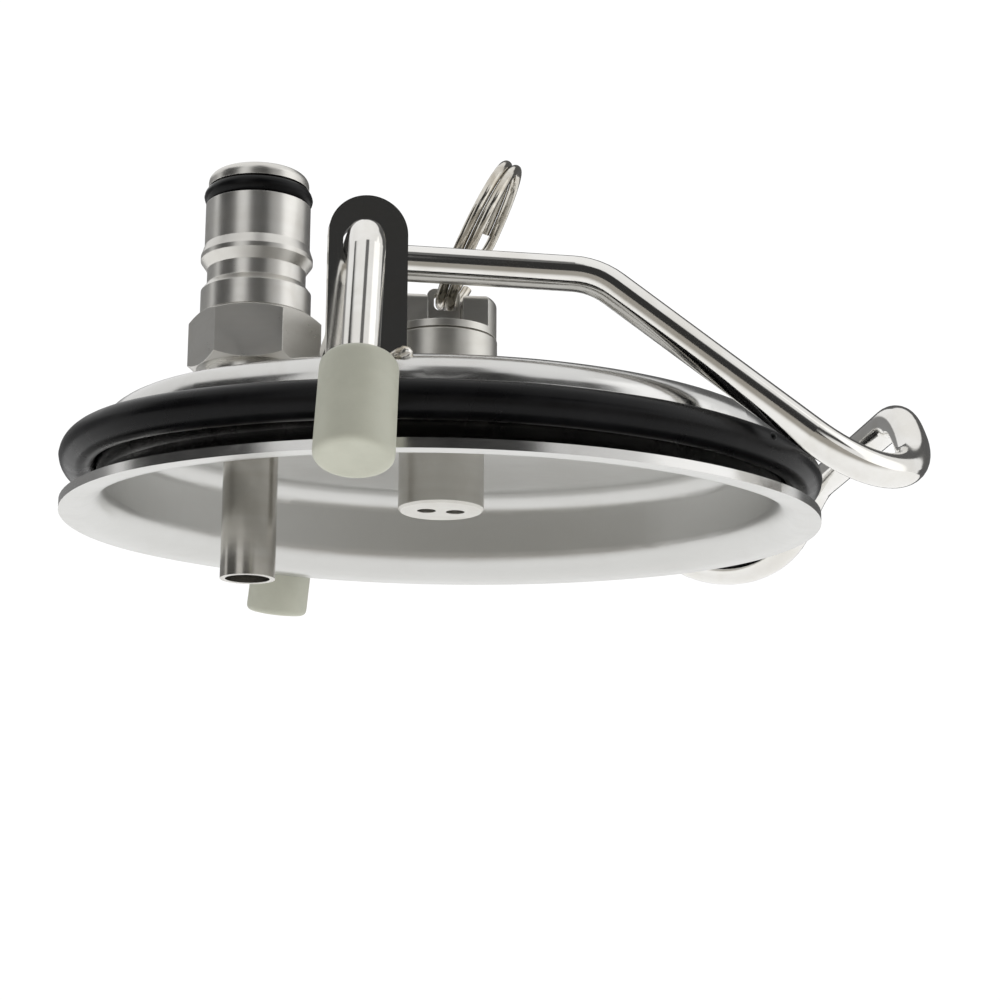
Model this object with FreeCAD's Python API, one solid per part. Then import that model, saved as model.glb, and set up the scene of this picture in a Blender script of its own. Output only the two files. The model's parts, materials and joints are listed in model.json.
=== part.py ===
import FreeCAD, Part
import math
import os

# Oval keg lid: stamped stainless lid with a rubber gasket, a wire bail held by
# two ears, a ring-pull relief valve and a gas post with a short dip tube.
# Frame: +Z up out of the keg, +X along the oval's long axis towards the bail's
# grip, origin at the centre of the flange's underside. Millimetres.

Vector = FreeCAD.Vector
UP = Vector(0, 0, 1)
ORIGIN = Vector(0, 0, 0)

# ---- driving dimensions ----------------------------------------------------

# Lid pressing
LID_HALF_LENGTH = 55.8
LID_HALF_WIDTH = 46.9
LID_END_RADIUS = 41.5
LID_HEIGHT = 15.0
SHEET = 1.35
CORNER_RADIUS = 4.4
FLANGE_FILLET = 3.0
CROWN_RISE = 1.5
CROWN_RADIUS = 36.0

# Gasket
GASKET_SECTION = 5.33
GASKET_CENTRE_Z = 7.0
GASKET_OVERHANG = 0.29

# Bail wire, ears and feet
WIRE = 4.9
PIVOT_X = -17.45
PIVOT_Z = 28.7
EAR_X = -16.6
EAR_INNER_Y = 36.8
EAR_SHEET = 2.0
EAR_WIDTH = 10.5
EAR_TOP_Z = 35.9
EAR_FOOT_LENGTH = 9.0
EAR_BEND_RADIUS = 1.0
SLOT_FLOAT = 0.8
WIRE_CLEARANCE = 0.06
ARM_Y = 33.2
SHOULDER_X = 14.8
SHOULDER_Y = 35.2
SHOULDER_Z = 28.1
DIP_X = 63.2
DIP_Y = 38.2
DIP_Z = -8.0
DIP_RADIUS = 14.4
REAR_DIP_X = 59.4
REAR_DIP_Z = -5.7
REAR_DIP_RADIUS = 13.8
GRIP_X = 64.0
GRIP_Y = 18.9
GRIP_Z = 14.2
GRIP_TWIST = 1.1
LEG_Y = 45.0
FOOT_END_X = -19.95
FOOT_END_Y = 55.2
FOOT_END_Z = -4.2
FOOT_DIAMETER = 10.1
FOOT_LENGTH = 14.0
FOOT_END_WALL = 2.5

# Relief valve
VALVE_X = -0.5
VALVE_DIAMETER = 16.4
VALVE_SPIGOT_DIAMETER = 12.66
VALVE_BOTTOM_Z = 2.2
VALVE_SEAM_Z = 28.4
VALVE_TOP_Z = 34.3
VALVE_BORE_RADIUS = 4.9
VALVE_THREAD_RADIUS = 6.2
SLOT_WIDTH = 5.2
SLOT_FLOOR_Z = 29.5
SLOT_TURN_DEG = -4.5
LUG_HALF_DEPTH = 5.0
LUG_ROUND = 0.8
STEM_RADIUS = 1.5
STEM_CLEARANCE = 0.06
SEAL_THICKNESS = 2.0
POPPET_PLATE = 1.2
POPPET_RADIUS = 4.3
SPRING_SEAT_Z = 21.0
TIP_RADIUS = 1.0
VALVE_FLOOR_Z = VALVE_BOTTOM_Z + 2.2
POPPET_BACK_Z = VALVE_FLOOR_Z + SEAL_THICKNESS

# Pull ring
RING_DIAMETER = 24.9
RING_WIRE = 1.5
RING_LEAN_DEG = 25.5
RING_TURN_DEG = -7.6
EYE_X = -0.2
EYE_Z = 34.3
EYE_PLAY = 0.62

# Gas post and dip tube
POST_X = -28.6
POST_TOP_Z = 52.4
HEX_BOTTOM_Z = 21.9
HEX_TOP_Z = 30.2
HEX_ACROSS_FLATS = 17.0
HEX_TURN_DEG = -10.0
BARREL_RADIUS = 7.8
NECK_RADIUS = 7.3
NECK_LOW_Z = 35.0
NECK_HIGH_Z = 37.25
SHOULDER_RADIUS = 8.15
BEAD_RADIUS = 8.3
BEAD_Z = 39.0
NOSE_RADIUS = 7.5
O_RING_SECTION = 2.75
O_RING_OUTER_RADIUS = 8.08
O_RING_Z = 48.8
THREAD_RADIUS = 7.1
SPIGOT_RADIUS = 6.0
STUB_BOTTOM_Z = LID_HEIGHT - SHEET - 1.2
STUB_TOP_Z = 31.0
TUBE_DIAMETER = 7.94
TUBE_WALL = 0.75
TUBE_END_Z = -9.0
TUBE_SWELL_RADIUS = 4.4
TUBE_SEAL_SECTION = 1.6
TUBE_FLANGE = 0.8
TUBE_FLANGE_Z = STUB_TOP_Z + TUBE_SEAL_SECTION
CAGE_SHEET = 0.8
CAGE_BASE_Z = TUBE_FLANGE_Z + TUBE_FLANGE
CAGE_TOP_Z = 37.2
POST_SHOULDER_Z = CAGE_BASE_Z + CAGE_SHEET
CHAMBER_RADIUS = 5.0
CHAMBER_TOP_Z = 46.0
MOUTH_RADIUS = 3.1
PIN_RADIUS = 2.2
PIN_RECESS = 0.7
POST_DISC_Z = 42.8
POST_DISC = 1.2


# ---- helpers ---------------------------------------------------------------

def cylinder(x, y, z_low, z_high, radius):
    return Part.makeCylinder(radius, z_high - z_low, Vector(x, y, z_low), UP)


def ring(x, z_low, z_high, inner_radius, outer_radius):
    outer = cylinder(x, 0, z_low, z_high, outer_radius)
    return outer.cut(cylinder(x, 0, z_low, z_high, inner_radius))


def torus(x, z, mean_radius, section_radius):
    return Part.makeTorus(mean_radius, section_radius, Vector(x, 0, z), UP)


def turned(x, profile):
    """Solid of revolution about the vertical through x from (radius, z) pairs."""
    corners = [Vector(x + radius, 0, z) for radius, z in profile]
    face = Part.Face(Part.makePolygon(corners + corners[:1]))
    return face.revolve(Vector(x, 0, 0), UP, 360)


def fillet_where(solid, radius, wanted):
    edges = [edge for edge in solid.Edges if wanted(edge)]
    return solid.makeFillet(radius, edges)


def is_level_at(edge, z):
    box = edge.BoundBox
    return abs(box.ZMin - z) < 0.01 and abs(box.ZMax - z) < 0.01


def mirrored_y(solid):
    return solid.mirror(ORIGIN, Vector(0, 1, 0))


def bent_path(corners, radii):
    """Wire through the corner points with a tangent arc at each inner one."""
    edges = []
    start = corners[0]
    for before, corner, after, radius in zip(corners, corners[1:], corners[2:], radii):
        back = (before - corner).normalize()
        ahead = (after - corner).normalize()
        half_angle = back.getAngle(ahead) / 2
        setback = radius / math.tan(half_angle)
        arc_start = corner + back * setback
        arc_end = corner + ahead * setback
        bisector = (back + ahead).normalize()
        arc_middle = corner + bisector * (radius / math.sin(half_angle) - radius)
        edges.append(Part.makeLine(start, arc_start))
        edges.append(Part.Arc(arc_start, arc_middle, arc_end).toShape())
        start = arc_end
    edges.append(Part.makeLine(start, corners[-1]))
    return Part.Wire(edges)


def round_bar(path, start, direction, diameter):
    section = Part.Wire(Part.makeCircle(diameter / 2, start, direction))
    return path.makePipeShell([section], True, False)


def coil_spring(x, z_low, z_high, mean_radius, wire_diameter, turns):
    travel = z_high - z_low - wire_diameter
    helix = Part.makeHelix(travel / turns, travel, mean_radius)
    helix.translate(Vector(x, 0, z_low + wire_diameter / 2))
    start = Vector(x + mean_radius, 0, z_low + wire_diameter / 2)
    section = Part.Wire(Part.makeCircle(wire_diameter / 2, start, Vector(0, 1, 0)))
    return helix.makePipeShell([section], True, True)


# ---- lid pressing ----------------------------------------------------------

def oval_wire(inset):
    """Four-arc oval inside the flange outline by the given distance."""
    end_centre = LID_HALF_LENGTH - LID_END_RADIUS
    reach = LID_HALF_WIDTH - LID_END_RADIUS
    side_radius = (end_centre ** 2 + LID_HALF_WIDTH ** 2 - LID_END_RADIUS ** 2) / (2 * reach)
    side_centre = side_radius - LID_HALF_WIDTH
    joint_angle = math.atan2(side_centre, end_centre)
    end_radius = LID_END_RADIUS - inset
    joint_x = end_centre + end_radius * math.cos(joint_angle)
    joint_y = end_radius * math.sin(joint_angle)
    half_length = LID_HALF_LENGTH - inset
    half_width = LID_HALF_WIDTH - inset
    edges = []
    for side in (1, -1):
        corner_a = Vector(side * joint_x, -side * joint_y, 0)
        corner_b = Vector(side * joint_x, side * joint_y, 0)
        corner_c = Vector(-side * joint_x, side * joint_y, 0)
        edges.append(Part.Arc(corner_a, Vector(side * half_length, 0, 0), corner_b).toShape())
        edges.append(Part.Arc(corner_b, Vector(0, side * half_width, 0), corner_c).toShape())
    return Part.Wire(edges)


def oval_block(inset, z_low, z_high):
    block = Part.Face(oval_wire(inset)).extrude(Vector(0, 0, z_high - z_low))
    block.translate(Vector(0, 0, z_low))
    return block


def crown_cap(base_z):
    """Shallow spherical cap that crowns the lid's top panel."""
    sphere_radius = (CROWN_RADIUS ** 2 + CROWN_RISE ** 2) / (2 * CROWN_RISE)
    centre = Vector(0, 0, base_z + CROWN_RISE - sphere_radius)
    sphere = Part.makeSphere(sphere_radius, centre)
    return sphere.common(cylinder(0, 0, base_z, base_z + 2 * CROWN_RISE, CROWN_RADIUS))


WALL_INSET = GASKET_SECTION - GASKET_OVERHANG


def make_lid_outside():
    """The pressing's outer form, filled, without its openings."""
    outer = oval_block(0, 0, SHEET).fuse(oval_block(WALL_INSET, 0, LID_HEIGHT))
    outer = fillet_where(
        outer, FLANGE_FILLET,
        lambda edge: is_level_at(edge, SHEET) and edge.BoundBox.XLength > 1
        and edge.BoundBox.XMax < LID_HALF_LENGTH - 1 and edge.BoundBox.YMax < LID_HALF_WIDTH - 1
        and edge.BoundBox.XMin > 1 - LID_HALF_LENGTH and edge.BoundBox.YMin > 1 - LID_HALF_WIDTH)
    outer = fillet_where(outer, CORNER_RADIUS, lambda edge: is_level_at(edge, LID_HEIGHT))
    return outer.fuse(crown_cap(LID_HEIGHT))


def make_lid_shell(outside):
    hollow = oval_block(WALL_INSET + SHEET, -SHEET, LID_HEIGHT - SHEET)
    inner_corner = CORNER_RADIUS - SHEET
    hollow = fillet_where(hollow, inner_corner, lambda edge: is_level_at(edge, LID_HEIGHT - SHEET))
    hollow = hollow.fuse(crown_cap(LID_HEIGHT - SHEET))
    shell = outside.cut(hollow)
    mouth = WALL_INSET + SHEET
    shell = fillet_where(
        shell, FLANGE_FILLET + SHEET,
        lambda edge: is_level_at(edge, 0)
        and edge.BoundBox.XMax < LID_HALF_LENGTH - mouth + 1
        and edge.BoundBox.XMin > mouth - LID_HALF_LENGTH - 1
        and edge.BoundBox.YMax < LID_HALF_WIDTH - mouth + 1
        and edge.BoundBox.YMin > mouth - LID_HALF_WIDTH - 1)
    shell = shell.cut(cylinder(VALVE_X, 0, 0, 2 * LID_HEIGHT, VALVE_SPIGOT_DIAMETER / 2))
    shell = shell.cut(cylinder(POST_X, 0, 0, 2 * LID_HEIGHT, SPIGOT_RADIUS))
    return shell


def make_lid_gasket():
    centre_inset = GASKET_SECTION / 2 - GASKET_OVERHANG
    path = oval_wire(centre_inset)
    path.translate(Vector(0, 0, GASKET_CENTRE_Z))
    first = path.Edges[0]
    start = first.valueAt(first.FirstParameter)
    direction = first.tangentAt(first.FirstParameter)
    return round_bar(path, start, direction, GASKET_SECTION)


# ---- ears, bail and feet ---------------------------------------------------

def make_front_ear(outside):
    """L-shaped ear: a foot on the lid and a round-topped plate with a slot."""
    plate_y = -(EAR_INNER_Y + EAR_SHEET)
    round_radius = EAR_WIDTH / 2
    round_z = EAR_TOP_Z - round_radius
    plate_low_z = LID_HEIGHT - CORNER_RADIUS
    low_x = EAR_X - round_radius
    across = Vector(0, 1, 0)
    plate_corner = Vector(low_x, plate_y, plate_low_z)
    plate = Part.makeBox(EAR_WIDTH, EAR_SHEET, round_z - plate_low_z, plate_corner)
    top = Part.makeCylinder(round_radius, EAR_SHEET, Vector(EAR_X, plate_y, round_z), across)
    foot_depth = EAR_FOOT_LENGTH + EAR_SHEET
    foot = Part.makeBox(EAR_WIDTH, foot_depth, EAR_SHEET, Vector(low_x, plate_y, LID_HEIGHT))
    ear = plate.fuse([top, foot]).removeSplitter()
    ear = fillet_where(
        ear, EAR_BEND_RADIUS,
        lambda edge: is_level_at(edge, LID_HEIGHT + EAR_SHEET)
        and abs(edge.BoundBox.YMin + EAR_INNER_Y) < 0.01 and abs(edge.BoundBox.YMax + EAR_INNER_Y) < 0.01)
    corner_radius = EAR_FOOT_LENGTH / 4
    ear = fillet_where(
        ear, corner_radius,
        lambda edge: edge.BoundBox.XLength < 0.01 and edge.BoundBox.YLength < 0.01
        and edge.BoundBox.YMin > EAR_BEND_RADIUS - EAR_INNER_Y)
    slot_radius = WIRE / 2 + WIRE_CLEARANCE
    for z in (PIVOT_Z, PIVOT_Z + SLOT_FLOAT):
        hole = Part.makeCylinder(slot_radius, EAR_SHEET, Vector(PIVOT_X, plate_y, z), across)
        ear = ear.cut(hole)
    waist_corner = Vector(PIVOT_X - slot_radius, plate_y, PIVOT_Z)
    waist = Part.makeBox(2 * slot_radius, EAR_SHEET, SLOT_FLOAT, waist_corner)
    return ear.cut(waist).cut(outside)


def leg_corners():
    """Pivot corner, wire end and foot end of the front leg."""
    knee = Vector(PIVOT_X, -LEG_Y, PIVOT_Z)
    foot_end = Vector(FOOT_END_X, -FOOT_END_Y, FOOT_END_Z)
    down = (foot_end - knee).normalize()
    return knee, foot_end - down * FOOT_END_WALL, foot_end, down


def make_bail_wire():
    """One bent wire: leg, pivot, arm, grip and the same again at the back."""
    knee, wire_end, foot_end, down = leg_corners()
    front = [
        wire_end,
        knee,
        Vector(PIVOT_X, -ARM_Y, PIVOT_Z),
        Vector(SHOULDER_X, -SHOULDER_Y, SHOULDER_Z),
        Vector(DIP_X, -DIP_Y, DIP_Z + GRIP_TWIST),
        Vector(GRIP_X, -GRIP_Y, GRIP_Z + GRIP_TWIST),
    ]
    rear = [Vector(point.x, -point.y, point.z) for point in front[:4]]
    rear += [
        Vector(REAR_DIP_X, DIP_Y, REAR_DIP_Z),
        Vector(GRIP_X, GRIP_Y, GRIP_Z - GRIP_TWIST),
    ]
    knee_radius = 4.5
    pivot_radius = 3.2
    shoulder_radius = 10.0
    grip_radius = 9.0
    front_radii = [knee_radius, pivot_radius, shoulder_radius, DIP_RADIUS, grip_radius]
    rear_radii = [knee_radius, pivot_radius, shoulder_radius, REAR_DIP_RADIUS, grip_radius]
    path = bent_path(front + rear[::-1], front_radii + rear_radii[::-1])
    return round_bar(path, wire_end, down, WIRE)


def make_front_foot():
    """Plastic cap pushed onto the end of the leg."""
    knee, wire_end, foot_end, down = leg_corners()
    top = foot_end - down * FOOT_LENGTH
    cap = Part.makeCylinder(FOOT_DIAMETER / 2, FOOT_LENGTH, top, down)
    edge_radius = 0.7
    rims = [edge for edge in cap.Edges if edge.Closed]
    cap = cap.makeFillet(edge_radius, rims)
    return cap.cut(Part.makeCylinder(WIRE / 2, FOOT_LENGTH - FOOT_END_WALL, top, down))


# ---- relief valve ----------------------------------------------------------

def turned_about_valve(solid, angle_deg):
    solid.rotate(Vector(VALVE_X, 0, 0), UP, angle_deg)
    return solid


def make_relief_housing(shell):
    """Cup welded into the lid: a narrow vented end below, a wide body above."""
    vent_offset = 2.15
    vent_radius = 1.4
    edge = 0.35
    radius = VALVE_DIAMETER / 2
    spigot_radius = VALVE_SPIGOT_DIAMETER / 2
    cup = turned(VALVE_X, [
        (0, VALVE_BOTTOM_Z),
        (spigot_radius - edge, VALVE_BOTTOM_Z),
        (spigot_radius, VALVE_BOTTOM_Z + edge),
        (spigot_radius, LID_HEIGHT + CROWN_RISE / 2),
        (radius, LID_HEIGHT + CROWN_RISE / 2),
        (radius, VALVE_SEAM_Z - edge),
        (radius - edge, VALVE_SEAM_Z),
        (VALVE_THREAD_RADIUS, VALVE_SEAM_Z),
        (VALVE_THREAD_RADIUS, SPRING_SEAT_Z - 1),
        (VALVE_BORE_RADIUS, SPRING_SEAT_Z - 1),
        (VALVE_BORE_RADIUS, VALVE_FLOOR_Z),
        (0, VALVE_FLOOR_Z),
    ])
    for side in (-1, 1):
        x = VALVE_X + side * vent_offset
        cup = cup.cut(cylinder(x, 0, VALVE_BOTTOM_Z, VALVE_FLOOR_Z, vent_radius))
    return cup.cut(shell)


def make_relief_head():
    """Slotted head screwed into the housing; its spigot backs the spring."""
    head_radius = VALVE_DIAMETER / 2 - 0.1
    vent_offset = 3.8
    vent_radius = 0.9
    bore = STEM_RADIUS + STEM_CLEARANCE
    lug_height = VALVE_TOP_Z - SLOT_FLOOR_Z
    lugs = cylinder(VALVE_X, 0, SLOT_FLOOR_Z, VALVE_TOP_Z, head_radius)
    lug_corner = Vector(VALVE_X - VALVE_DIAMETER, -LUG_HALF_DEPTH, SLOT_FLOOR_Z)
    lugs = lugs.common(Part.makeBox(2 * VALVE_DIAMETER, 2 * LUG_HALF_DEPTH, lug_height, lug_corner))
    slot_corner = Vector(VALVE_X - SLOT_WIDTH / 2, -VALVE_DIAMETER, SLOT_FLOOR_Z)
    lugs = lugs.cut(Part.makeBox(SLOT_WIDTH, 2 * VALVE_DIAMETER, lug_height, slot_corner))
    lugs = fillet_where(lugs, LUG_ROUND, lambda edge: is_level_at(edge, VALVE_TOP_Z))
    head = cylinder(VALVE_X, 0, VALVE_SEAM_Z, SLOT_FLOOR_Z, head_radius).fuse(lugs)
    head = head.fuse(cylinder(VALVE_X, 0, SPRING_SEAT_Z, VALVE_SEAM_Z, VALVE_THREAD_RADIUS))
    head = head.cut(cylinder(VALVE_X, 0, SPRING_SEAT_Z, VALVE_TOP_Z, bore))
    for side in (-1, 1):
        head = head.cut(cylinder(VALVE_X, side * vent_offset, SPRING_SEAT_Z, VALVE_TOP_Z, vent_radius))
    return turned_about_valve(head, SLOT_TURN_DEG)


def make_relief_stem():
    """Shaft with a peened tip below and a flat eye on top for the pull ring."""
    eye_width = SLOT_WIDTH - 0.2
    eye_thickness = 2.2
    eye_band = 0.6
    eye_gap = 0.3
    lean = math.radians(RING_LEAN_DEG)
    opening_width = RING_WIRE * (1 + math.cos(lean)) + EYE_PLAY
    opening_height = RING_WIRE * (1 + math.sin(lean)) + EYE_PLAY
    eye_low_z = SLOT_FLOOR_Z + eye_gap
    eye_high_z = EYE_Z + opening_height / 2 + eye_band
    shaft = cylinder(VALVE_X, 0, POPPET_BACK_Z + POPPET_PLATE, eye_low_z, STEM_RADIUS)
    tip_z = VALVE_FLOOR_Z + SEAL_THICKNESS / 4
    tip = cylinder(VALVE_X, 0, tip_z, POPPET_BACK_Z + POPPET_PLATE, TIP_RADIUS)
    eye = Part.makeBox(
        eye_width, eye_thickness, eye_high_z - eye_low_z,
        Vector(VALVE_X - eye_width / 2, -eye_thickness / 2, eye_low_z))
    eye = fillet_where(
        eye, 1.2,
        lambda edge: edge.BoundBox.YLength > eye_thickness - 0.01 and edge.BoundBox.ZMin > EYE_Z)
    opening = Part.makeBox(
        opening_width, eye_thickness, opening_height,
        Vector(EYE_X - opening_width / 2, -eye_thickness / 2, EYE_Z - opening_height / 2))
    opening = fillet_where(opening, 0.8, lambda edge: edge.BoundBox.YLength > eye_thickness - 0.01)
    stem = shaft.fuse([tip, eye.cut(opening)]).removeSplitter()
    return turned_about_valve(stem, SLOT_TURN_DEG)


def make_relief_disc():
    """Stamped plate peened onto the stem; the spring pushes on its back."""
    return ring(VALVE_X, POPPET_BACK_Z, POPPET_BACK_Z + POPPET_PLATE, TIP_RADIUS, POPPET_RADIUS)


def make_relief_seal():
    """Rubber disc under the plate that covers both vents."""
    seal = cylinder(VALVE_X, 0, VALVE_FLOOR_Z, POPPET_BACK_Z, POPPET_RADIUS)
    return seal.cut(make_relief_stem())


def make_relief_spring():
    return coil_spring(VALVE_X, POPPET_BACK_Z + POPPET_PLATE, SPRING_SEAT_Z, 2.9, 0.8, 6)


def make_pull_ring():
    """Split ring: one wire wound two turns, crossing over at the back."""
    mean_radius = (RING_DIAMETER - RING_WIRE) / 2
    half_pitch = RING_WIRE / 2 + 0.03
    crossover_deg = 40
    end_gap_deg = 4
    step_deg = 10
    first_deg = crossover_deg / 2 + end_gap_deg
    last_deg = 720 - first_deg
    points = []
    for index in range(round((last_deg - first_deg) / step_deg) + 1):
        turn_deg = first_deg + index * (last_deg - first_deg) / round((last_deg - first_deg) / step_deg)
        blend = min(1, max(0, (turn_deg - 360) / crossover_deg + 0.5))
        ease = blend * blend * (3 - 2 * blend)
        offset = half_pitch * (2 * ease - 1)
        angle = math.radians(turn_deg)
        points.append(Vector(
            offset,
            mean_radius * math.cos(angle),
            mean_radius * math.sin(angle)))
    curve = Part.BSplineCurve()
    curve.interpolate(points)
    path = Part.Wire(curve.toShape())
    direction = points[1] - points[0]
    coil = round_bar(path, points[0], direction, RING_WIRE)
    coil.translate(Vector(EYE_X, 0, EYE_Z + mean_radius))
    coil.rotate(Vector(EYE_X, 0, EYE_Z), Vector(0, 1, 0), RING_LEAN_DEG)
    return turned_about_valve(coil, RING_TURN_DEG)


# ---- gas post --------------------------------------------------------------

def make_post_stub(shell):
    """Threaded stub welded through the lid; the post screws down over it."""
    collar_radius = 8.0
    bore = TUBE_SWELL_RADIUS + 0.05
    spigot_bottom = STUB_BOTTOM_Z
    collar_top = HEX_BOTTOM_Z - 1.3
    stub = cylinder(POST_X, 0, spigot_bottom, collar_top, SPIGOT_RADIUS)
    stub = stub.fuse(cylinder(POST_X, 0, LID_HEIGHT, collar_top, collar_radius))
    stub = stub.fuse(cylinder(POST_X, 0, collar_top, STUB_TOP_Z, THREAD_RADIUS))
    stub = stub.cut(cylinder(POST_X, 0, spigot_bottom, STUB_TOP_Z, bore))
    return stub.cut(shell).removeSplitter()


def make_post_body():
    """Turned and hexed valve body with the groove that a disconnect grips."""
    shoulder_z = NECK_LOW_Z - 1.1
    bead_low_z = BEAD_Z - 0.3
    bead_high_z = BEAD_Z + 0.4
    barrel_z = BEAD_Z + 1.9
    groove_radius = O_RING_OUTER_RADIUS - O_RING_SECTION
    groove_low_z = O_RING_Z - O_RING_SECTION / 2
    groove_high_z = O_RING_Z + O_RING_SECTION / 2
    barrel = turned(POST_X, [
        (0, HEX_TOP_Z),
        (SHOULDER_RADIUS, HEX_TOP_Z),
        (SHOULDER_RADIUS, shoulder_z),
        (NECK_RADIUS, NECK_LOW_Z),
        (NECK_RADIUS, NECK_HIGH_Z),
        (BEAD_RADIUS, bead_low_z),
        (BEAD_RADIUS, bead_high_z),
        (BARREL_RADIUS, barrel_z),
        (BARREL_RADIUS, groove_low_z),
        (groove_radius, groove_low_z),
        (groove_radius, groove_high_z),
        (NOSE_RADIUS, groove_high_z),
        (NOSE_RADIUS, POST_TOP_Z),
        (0, POST_TOP_Z),
    ])
    nose_round = 1.45
    barrel = fillet_where(barrel, nose_round, lambda edge: is_level_at(edge, POST_TOP_Z))
    post = barrel.fuse(make_hex())
    post = post.cut(cylinder(POST_X, 0, HEX_BOTTOM_Z, POST_SHOULDER_Z, THREAD_RADIUS))
    post = post.cut(cylinder(POST_X, 0, POST_SHOULDER_Z, CHAMBER_TOP_Z, CHAMBER_RADIUS))
    post = post.cut(cylinder(POST_X, 0, CHAMBER_TOP_Z, POST_TOP_Z, MOUTH_RADIUS))
    return post.removeSplitter()


def make_hex():
    """Hexagon with turned chamfers, tightened to its own angle."""
    corner_radius = HEX_ACROSS_FLATS / math.sqrt(3)
    corners = []
    for index in range(6):
        angle = math.radians(60 * index + HEX_TURN_DEG)
        corners.append(Vector(
            POST_X + corner_radius * math.cos(angle),
            corner_radius * math.sin(angle),
            HEX_BOTTOM_Z))
    face = Part.Face(Part.makePolygon(corners + corners[:1]))
    prism = face.extrude(Vector(0, 0, HEX_TOP_Z - HEX_BOTTOM_Z))
    chamfer = 0.9
    rim = corner_radius - 2 * chamfer
    envelope = turned(POST_X, [
        (0, HEX_BOTTOM_Z),
        (rim + chamfer / 2, HEX_BOTTOM_Z),
        (corner_radius, HEX_BOTTOM_Z + chamfer),
        (corner_radius, HEX_TOP_Z - chamfer),
        (rim, HEX_TOP_Z),
        (0, HEX_TOP_Z),
    ])
    return prism.common(envelope)


def make_post_o_ring():
    mean_radius = O_RING_OUTER_RADIUS - O_RING_SECTION / 2
    return torus(POST_X, O_RING_Z, mean_radius, O_RING_SECTION / 2)


def make_dip_tube():
    """Short gas tube, swelled where the stub centres it, with a flange on top."""
    outer = TUBE_DIAMETER / 2
    bore = outer - TUBE_WALL
    flange_radius = THREAD_RADIUS - 0.3
    tube = cylinder(POST_X, 0, TUBE_END_Z, CAGE_BASE_Z, outer)
    tube = tube.fuse(cylinder(POST_X, 0, STUB_BOTTOM_Z, TUBE_FLANGE_Z, TUBE_SWELL_RADIUS))
    tube = tube.fuse(cylinder(POST_X, 0, TUBE_FLANGE_Z, CAGE_BASE_Z, flange_radius))
    tube = tube.cut(cylinder(POST_X, 0, TUBE_END_Z, CAGE_BASE_Z, bore))
    return tube.removeSplitter()


def make_dip_tube_o_ring():
    section_radius = TUBE_SEAL_SECTION / 2
    return torus(POST_X, STUB_TOP_Z + section_radius, TUBE_SWELL_RADIUS + section_radius, section_radius)


def make_poppet_cage():
    """Three-legged spring seat that also guides the poppet's tail."""
    base = ring(POST_X, CAGE_BASE_Z, POST_SHOULDER_Z, 3.2, THREAD_RADIUS - 0.3)
    hub_radius = 4.6
    hub_low_z = CAGE_TOP_Z - CAGE_SHEET
    hub = ring(POST_X, hub_low_z, CAGE_TOP_Z, STEM_RADIUS + STEM_CLEARANCE, hub_radius)
    cage = base.fuse(hub)
    leg_width = 1.6
    leg_depth = 1.0
    for index in range(3):
        leg = Part.makeBox(
            leg_depth, leg_width, hub_low_z - POST_SHOULDER_Z,
            Vector(POST_X + hub_radius - leg_depth, -leg_width / 2, POST_SHOULDER_Z))
        leg.rotate(Vector(POST_X, 0, 0), UP, 120 * index)
        cage = cage.fuse(leg)
    return cage.removeSplitter()


def make_poppet_stem():
    """Pin seen in the post's mouth, with the disc that carries the seal."""
    disc_radius = POPPET_RADIUS
    pin_round = 0.6
    pin_top = POST_TOP_Z - PIN_RECESS
    tail_bottom = CAGE_TOP_Z - 2 * CAGE_SHEET
    pin = cylinder(POST_X, 0, POST_DISC_Z, pin_top, PIN_RADIUS)
    pin = fillet_where(pin, pin_round, lambda edge: is_level_at(edge, pin_top))
    disc = cylinder(POST_X, 0, POST_DISC_Z, POST_DISC_Z + POST_DISC, disc_radius)
    tail = cylinder(POST_X, 0, tail_bottom, POST_DISC_Z, STEM_RADIUS)
    return pin.fuse([disc, tail]).removeSplitter()


def make_poppet_seal():
    return ring(POST_X, POST_DISC_Z + POST_DISC, CHAMBER_TOP_Z, PIN_RADIUS, CHAMBER_RADIUS - 0.5)


def make_poppet_spring():
    return coil_spring(POST_X, CAGE_TOP_Z, POST_DISC_Z, 2.9, 0.7, 3)


# ---- build and write -------------------------------------------------------

def main():
    lid_outside = make_lid_outside()
    lid_shell = make_lid_shell(lid_outside)
    front_ear = make_front_ear(lid_outside)
    front_foot = make_front_foot()
    solids = {
        "lid_shell": lid_shell,
        "lid_gasket": make_lid_gasket(),
        "front_ear": front_ear,
        "rear_ear": mirrored_y(front_ear),
        "bail_wire": make_bail_wire(),
        "front_foot": front_foot,
        "rear_foot": mirrored_y(front_foot),
        "relief_housing": make_relief_housing(lid_shell),
        "relief_head": make_relief_head(),
        "relief_stem": make_relief_stem(),
        "relief_disc": make_relief_disc(),
        "relief_seal": make_relief_seal(),
        "relief_spring": make_relief_spring(),
        "pull_ring": make_pull_ring(),
        "post_stub": make_post_stub(lid_shell),
        "post_body": make_post_body(),
        "post_o_ring": make_post_o_ring(),
        "dip_tube": make_dip_tube(),
        "dip_tube_o_ring": make_dip_tube_o_ring(),
        "poppet_cage": make_poppet_cage(),
        "poppet_stem": make_poppet_stem(),
        "poppet_seal": make_poppet_seal(),
        "poppet_spring": make_poppet_spring(),
    }
    os.makedirs("parts", exist_ok=True)
    for name, solid in solids.items():
        print(name, solid.ShapeType, len(solid.Solids), solid.isValid(), round(solid.Volume, 2))
        solid.exportStep("parts/" + name + ".step")


main()
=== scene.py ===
import json
import math

import bmesh
import bpy
import numpy as np
from mathutils import Matrix, Vector, noise
from mathutils.bvhtree import BVHTree


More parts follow.
